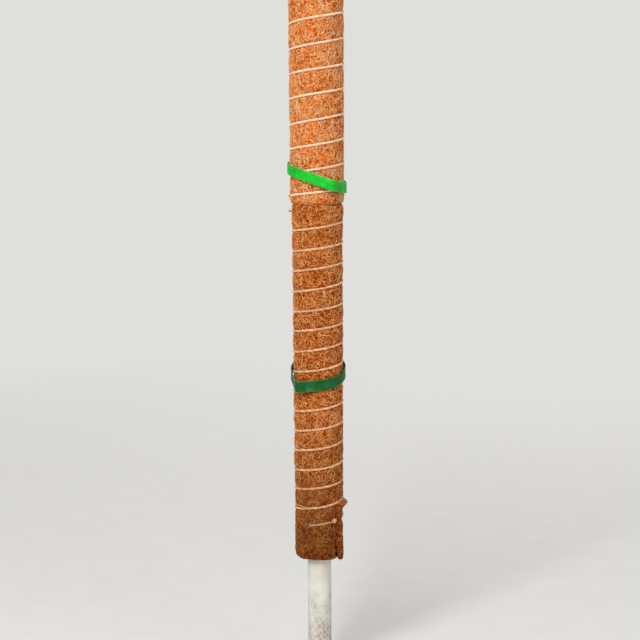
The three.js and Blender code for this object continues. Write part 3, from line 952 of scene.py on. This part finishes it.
def add_laid_twine(shape, line, diameter, area, seed):
    """Twine of plies twisted together along a line, each a little uneven."""
    rng = np.random.default_rng(seed)
    travel = travelled(line)
    normal, across = (part[0] for part in carried_frames(line[None]))
    phase = math.tau * np.arange(TWINE_PLIES)[:, None] / TWINE_PLIES
    twist = math.tau * travel / TWINE_LAY + phase + wave(travel, *TWIST_WAVE, phase)
    offset = PLY_OFFSET * diameter / 2
    spread = offset * (np.cos(twist)[..., None] * normal + np.sin(twist)[..., None] * across)
    thick = 1 + wave(travel, *PLY_LONG_WAVE, 2 * phase) + wave(travel, *PLY_SHORT_WAVE, phase)
    radii = PLY_RADIUS * diameter / 2 * thick
    shade = 0.5 + wave(travel, *PLY_SHADE_WAVE, phase) + rng.normal(0, 0.05, (TWINE_PLIES, 1))
    marks = {"shade": shade, "along": travel, "round": phase}
    shape.add_strands(line + spread, radii, PLY_SIDES, area, rings_a_cell=24, **marks)


def add_hairs(shape, roots, ways, reach, area, seed, limit=math.inf):
    """Fine hairs that leave the twine at roots, along ways, and curl, within a distance of the axis."""
    rng = np.random.default_rng(seed)
    count = len(roots)
    share = np.linspace(0, 1, HAIR_POINTS)[:, None]
    length = rng.uniform(0.4, 1, (count, 1, 1)) * reach
    curl = rng.normal(0, HAIR_CURL, (count, 1, 3))
    paths = roots[:, None] + length * (ways[:, None] * share + curl * share**2)
    away = np.linalg.norm(paths[..., :2], axis=-1, keepdims=True)
    paths[..., :2] *= np.minimum(1, limit / away)
    radii = HAIR_RADIUS * np.linspace(1, 0.5, HAIR_POINTS)
    along = length[..., 0] * share[:, 0] + rng.uniform(0, 1, (count, 1))
    shape.add_strands(paths, radii, FIBRE_SIDES, area, shade=0.8, along=along, round=0)


def add_twine_hairs(shape, section, line, area):
    """Hairs that lie along the twine, on the side away from the felt."""
    rng = np.random.default_rng(section.seed + 5)
    pick = rng.integers(2, len(line) - 2, TWINE_HAIRS)
    along = unit(line[pick + 1] - line[pick - 1])
    away = unit(line[pick] * np.array([1, 1, 0]))
    across = np.cross(along, away)
    angle = rng.uniform(-1.5, 1.5, (TWINE_HAIRS, 1))
    out = away * np.cos(angle) + across * np.sin(angle)
    roots = line[pick] + out * TWINE_DIAMETER * 0.42
    ways = unit(along * rng.choice([-1, 1], (TWINE_HAIRS, 1)) + 0.45 * across * np.sin(angle))
    add_hairs(shape, roots, ways, TWINE_HAIR_REACH, area, section.seed + 6, section.crest)


def add_loose_plies(shape, section, area):
    """Thin strands that come away from the twine over part of a lap, and bow up over the felt."""
    part = np.linspace(0, 1, LOOSE_PLY_POINTS)
    bow = np.sin(math.pi * part**0.7)
    for first, last, rise in LOOSE_PLIES:
        laps = first + (last - first) * part
        azimuth = section.twine_azimuth + 360 * laps
        height = twine_height(section, laps) + rise * bow
        turn = np.mod(azimuth - SEAM_AZIMUTH, 360)
        on_felt = felt_surface(section, turn, height) + LOOSE_PLY_DIAMETER / 2
        on_twine = felt_radius(section, height) + TWINE_DIAMETER
        line = on_pole(azimuth, on_felt + (on_twine - on_felt) * (1 - bow), section.base + height)
        add_laid_twine(shape, line, LOOSE_PLY_DIAMETER, area, section.seed)


def make_twine(section, material):
    line = twine_line(section)
    shape = Shape()
    add_laid_twine(shape, line, TWINE_DIAMETER, (0, 0, 1, 0.9), section.seed)
    add_twine_hairs(shape, section, line, (0, 0.9, 1, 1))
    if section.loose_lift:
        add_loose_plies(shape, section, (0.6, 0.86, 1, 0.9))
    name = section.name
    shape.piece(f"{name}_laid_twine", material, section.body, "twine", f"{name}_binding_twine")
    make_knot(section, "foot", line[0], unit(line[0] - line[1]), material)
    make_knot(section, "head", line[-1], unit(line[-1] - line[-2]), material)


def make_knot(section, end, start, way, material):
    """A barrel knot on the end of the twine: wraps round the standing part, and a frayed tail."""
    away = unit(start * np.array([1, 1, 0]))
    side = unit(np.cross(way, away))
    axes = np.stack([way, np.cross(side, way), side])
    rise = KNOT_DIAMETER / 2 - TWINE_DIAMETER / 2

    def at(distance, out, across):
        return start + np.stack([distance, out, across], -1) @ axes

    shape = Shape()
    share = np.linspace(0, 1, STANDING_POINTS)
    along = (SEAT_CLEARANCE + KNOT_LENGTH) * share
    standing = at(along, rise * (3 * share**2 - 2 * share**3), 0 * share)
    core = np.vstack([standing, knot_tail(section, end, standing[-1], way)])
    add_laid_twine(shape, core, KNOT_CORE, (0, 0, 1, 0.4), section.seed + 7)

    part = np.linspace(0, 1, WRAP_POINTS)
    angle = math.tau * KNOT_WRAPS * part
    out_of_ends = np.minimum(1, np.minimum(part, 1 - part) * 9)
    radius = (KNOT_DIAMETER - KNOT_STRAND) / 2 * (KNOT_TUCKED + (1 - KNOT_TUCKED) * out_of_ends)
    middle = SEAT_CLEARANCE + KNOT_STRAND / 2 + (KNOT_LENGTH - KNOT_STRAND) * part
    wraps = at(middle, rise + radius * np.cos(angle), radius * np.sin(angle))
    add_laid_twine(shape, wraps, KNOT_STRAND, (0, 0.4, 1, 0.8), section.seed + 8)

    rng = np.random.default_rng(section.seed + 9)
    roots = np.repeat(core[-1:], TAIL_HAIRS, 0)
    ways = unit(core[-1] - core[-3]) + 0.5 * rng.normal(size=(TAIL_HAIRS, 3))
    add_hairs(shape, roots, ways, TAIL_HAIR_REACH, (0, 0.8, 1, 1), section.seed + 10)
    name = section.name
    shape.piece(f"{name}_{end}_knot", material, section.body, "twine", f"{name}_twine_{end}_knot")


def knot_tail(section, end, start, way):
    """The twine's end beyond a knot. The lowest one is long and lies along the felt."""
    long = section.loose_lift and end == "foot"
    reach = (LONG_TAIL_LENGTH if long else TAIL_LENGTH) * np.linspace(0.05, 1, TAIL_POINTS)
    away = math.hypot(start[0], start[1])
    turning = math.copysign(1, start[0] * way[1] - start[1] * way[0])
    azimuth = math.degrees(math.atan2(start[0], -start[1])) + turning * np.degrees(reach / away)
    if not long:
        return on_pole(azimuth, away + TAIL_RISE * reach, start[2] + way[2] * reach)
    height = start[2] - section.base - LONG_TAIL_FALL * reach
    on_felt = felt_surface(section, np.mod(azimuth - SEAM_AZIMUTH, 360), height) + LONG_TAIL_SEAT
    settled = np.minimum(1, reach / LONG_TAIL_SETTLING)
    return on_pole(azimuth, away + (on_felt - away) * settled, section.base + height)


# Tape ties

def tape_plan(tie):
    """The tape's inner face in plan, from one end of the fin to the other, and the ways out of it."""
    loop = tie.loop_radius
    room = TIED_ROOM_DIAMETER / 2
    room_distance = tie.section.crest + SEAT_CLEARANCE + room
    spread = math.degrees(math.acos((loop - room) / room_distance))
    fold = FIN_FOLD_RADIUS + TAPE_THICKNESS
    fold_turn = math.degrees(math.asin((FIN_GAP / 2 + fold) / (loop + fold)))
    fin = tie.fin_azimuth
    room_turn = (tie.room_azimuth - fin) % 360 + fin
    points = []
    ways = []

    def arc(middle, radius, start, end, facing=1):
        steps = max(6, math.ceil(abs(end - start) / TAPE_STEP))
        way = on_pole(np.linspace(start, end, steps + 1), 1, 0)
        points.extend(middle + radius * way)
        ways.extend(facing * way)

    def leg(side, shares):
        across = on_pole(fin + 90, 1, 0) * side
        reach = loop + fold + (FIN_LENGTH - fold) * shares
        points.extend(on_pole(fin, reach, 0) + across * FIN_GAP / 2)
        ways.extend([across] * len(shares))

    centre = np.zeros(3)
    inside = fold_turn / 4
    shares = np.linspace(1, 0.1, FIN_POINTS)
    leg(1, shares)
    arc(on_pole(fin + fold_turn, loop + fold, 0), fold, fin - 90, fin + fold_turn - 180, -1)
    arc(centre, loop, fin + fold_turn + inside, room_turn - spread - inside)
    arc(on_pole(room_turn, room_distance, 0), room, room_turn - spread, room_turn + spread)
    arc(centre, loop, room_turn + spread + inside, fin + 360 - fold_turn - inside)
    arc(on_pole(fin - fold_turn, loop + fold, 0), fold, fin - fold_turn + 180, fin + 90, -1)
    leg(-1, shares[::-1])
    return np.array(points), np.array(ways)


def tape_height(tie, plan):
    return tie.height + tie.rise_to_right * plan[..., 0] + tie.rise_to_back * plan[..., 1]


def make_tape(tie, material):
    """The tape as a thin strip with rounded edges and slight waves."""
    plan, way = tape_plan(tie)
    travel = travelled(plan)[:, None]
    half = TAPE_WIDTH / 2
    edge = TAPE_THICKNESS / 2
    flat = np.linspace(-1, 1, TAPE_COLUMNS) * (half - edge)
    bend = np.radians([-45, 0, 45])
    side = half - edge + edge * np.cos(bend)
    lift = edge * np.sin(bend)
    up = np.hstack([flat, side, flat[::-1], -side])
    out = np.hstack([0 * flat, edge + lift, 0 * flat + 2 * edge, edge - lift])
    rim = np.abs(up) / half
    fade = np.minimum(1, np.minimum(travel, travel[-1] - travel) / TAPE_WAVE_FADE)
    sway = sum(wave(travel, *each) for each in TAPE_WAVES) * fade
    ripple = TAPE_RIPPLE * (1 + wave(travel, 1, TAPE_RIPPLE_LENGTH)) * rim**2 * fade
    points = plan[:, None] + way[:, None] * (out + ripple)[..., None]
    points[..., 2] = tape_height(tie, plan)[:, None] + up + sway

    shape = Shape()
    # The edge mark tells the material where to paint a highlight along the tape's edges
    index = shape.add_points(points, along=travel, across=up, edge=rim)
    shape.add_grid(np.pad(index, ((0, 0), (0, 1)), "wrap"), (0.01, 0.06, 0.99, 0.99))
    angle = np.linspace(0, math.tau, len(up), False)
    cap = np.stack([0.1 + 0.08 * np.cos(angle), 0.025 + 0.02 * np.sin(angle)], -1)[None]
    shape.add_faces(index[:1, ::-1], cap[:, ::-1])
    shape.add_faces(index[-1:], cap + np.array([0.3, 0]))
    shape.piece(f"{tie.name}_strip", material, tie.name, tie.slot, f"{tie.name}_tape")


def make_staple(tie, material):
    """Wire closed round the fin: a crown on one side, and two feet turned in on the other."""
    middle = on_pole(tie.fin_azimuth, tie.loop_radius + FIN_LENGTH / 2 + FIN_FOLD_RADIUS, 0)
    middle[2] = tape_height(tie, middle)
    across = on_pole(tie.fin_azimuth + 90, 1, 0)
    up = np.array([0, 0, 1])
    side = TAPE_THICKNESS + FIN_GAP / 2 + SEAT_CLEARANCE + STAPLE_WIRE / 2
    top = (STAPLE_CROWN - STAPLE_WIRE) / 2
    foot = STAPLE_FOOT_GAP / 2
    outline = [(side, foot), (side, top), (-side, top), (-side, -top), (side, -top), (side, -foot)]
    corners = np.array([middle + x * across + z * up for x, z in outline])
    threes = zip(corners, corners[1:], corners[2:])
    bends = [rounded_corner(*three, STAPLE_BEND, steps=6) for three in threes]
    line = np.vstack([corners[:1], *bends, corners[-1:]])
    shape = Shape()
    shape.add_strands(line[None], STAPLE_WIRE / 2, sides=12)
    shape.piece(f"{tie.name}_wire", material, tie.name, "staple_wire", f"{tie.name}_staple")


# Plastic cores

def make_pipe(node, wall, chamfer, material, body):
    """A pipe in the place of its solid, with softened rims and, on a spigot, a chamfered foot."""
    low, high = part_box(node)
    radius = high.x
    bore = radius - wall
    corners = [(bore, low.z), (radius - chamfer, low.z)]
    if chamfer:
        corners.append((radius, low.z + chamfer))
    corners = np.array([*corners, (radius, high.z), (bore, high.z)])
    threes = zip(np.roll(corners, 1, 0), corners, np.roll(corners, -1, 0))
    outline = np.vstack([rounded_corner(*three, RIM_ROUNDING, steps=5) for three in threes])
    azimuth = np.linspace(0, 360, CORE_SIDES, False)[:, None]
    shape = Shape()
    index = shape.add_points(on_pole(azimuth, outline[:, 0], outline[:, 1]))
    quads = quad_corners(np.pad(index, (0, 1), "wrap"))

    # On the map each step along the outline is a band about as wide as that step
    travel = travelled(np.vstack([outline, outline[:1]]))
    bands = travel / travel[-1] + 0.01 * np.arange(len(travel))
    places = map_places(0.01 + 0.98 * bands / bands[-1], np.linspace(0.01, 0.99, CORE_SIDES + 1))
    shape.add_faces(quads[:, ::-1], places[:, ::-1])
    shape.piece(f"{node}_pipe", material, body, "core_plastic", node)


# Stage: a pale round floor, soft lamps and the camera

def make_floor():
    """A floor that takes the pole's shadow, and fades into the background all round."""
    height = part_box("ground_spigot")[0].z
    rim = on_pole(np.linspace(0, 360, FLOOR_SIDES, False), FLOOR_RADIUS, height)
    mesh = bpy.data.meshes.new("studio_floor")
    mesh.from_pydata(rim.tolist(), [], [list(range(FLOOR_SIDES))])
    nodes = Nodes("studio_floor", Roughness=0.9, Specular_IOR_Level=0.0, Emission_Color=paint(BACKGROUND))
    distance = nodes.add("VectorMath", Vector=nodes.place((1, 1, 0)))
    distance.operation = "LENGTH"
    faded = nodes.between(distance.outputs["Value"], *FLOOR_FADE)
    pale = nodes.ramp(nodes.noise(30), NOISE_RANGE, FLOOR_COLOURS)
    nodes.look(Base_Color=nodes.blend(faded, pale, (0, 0, 0, 1)), Emission_Strength=faded)
    mesh.materials.append(nodes.owner)
    new_object("studio_floor", mesh)


def make_lamps():
    """Soft lamps, and a background that looks paler than the light it gives."""
    aim = Vector((0, 0, LAMP_AIM_HEIGHT))
    for name, place, size, power in LAMPS:
        lamp = bpy.data.lights.new(name, "AREA")
        lamp.size = size
        lamp.energy = power
        held = new_object(name, lamp)
        held.location = place
        held.rotation_euler = (aim - held.location).to_track_quat("-Z", "Y").to_euler()
    world = Nodes("studio", "worlds", "Background", Color=paint(BACKGROUND))
    rays = world.add("LightPath").outputs
    seen = world.math("MAXIMUM", rays["Is Camera Ray"], rays["Is Glossy Ray"])
    world.look(Strength=world.between(seen, 0, 1, WORLD_LIGHT, 1))
    bpy.context.scene.world = world.owner


def make_camera():
    lens = bpy.data.cameras.new("front_view")
    lens.lens = LENS
    camera = new_object("front_view", lens)
    pitch = math.radians(CAMERA_PITCH)
    back = Vector((0, -math.cos(pitch), math.sin(pitch)))
    camera.location = Vector((AIM_RIGHT, 0, AIM_HEIGHT)) + CAMERA_DISTANCE * back
    upright = Matrix.Rotation(math.pi / 2 - pitch, 4, "X")
    roll = Matrix.Rotation(math.radians(-CAMERA_ROLL), 4, "Z")
    camera.rotation_euler = (upright @ roll).to_euler()
    bpy.context.scene.camera = camera


make_camera()
make_lamps()
make_floor()

plastic = plastic_finish()
for part, spigot in ((LOWER, "ground_spigot"), (UPPER, "joining_spigot")):
    make_pipe(f"{part.name}_core_tube", TUBE_WALL, 0, plastic, part.body)
    make_pipe(spigot, SPIGOT_WALL, SPIGOT_CHAMFER, plastic, part.body)

for part in (LOWER, UPPER):
    coir = coir_finish(part)
    make_mat(part, coir)
    make_fibres(part, COARSE, coir)
    make_fibres(part, FINE, coir)
    make_twine(part, twine_finish(part))

steel = steel_finish()
for tie in (LOWER_TIE, UPPER_TIE):
    make_tape(tie, tape_finish(tie))
    make_staple(tie, steel)

bpy.context.scene.view_settings.view_transform = "Standard"
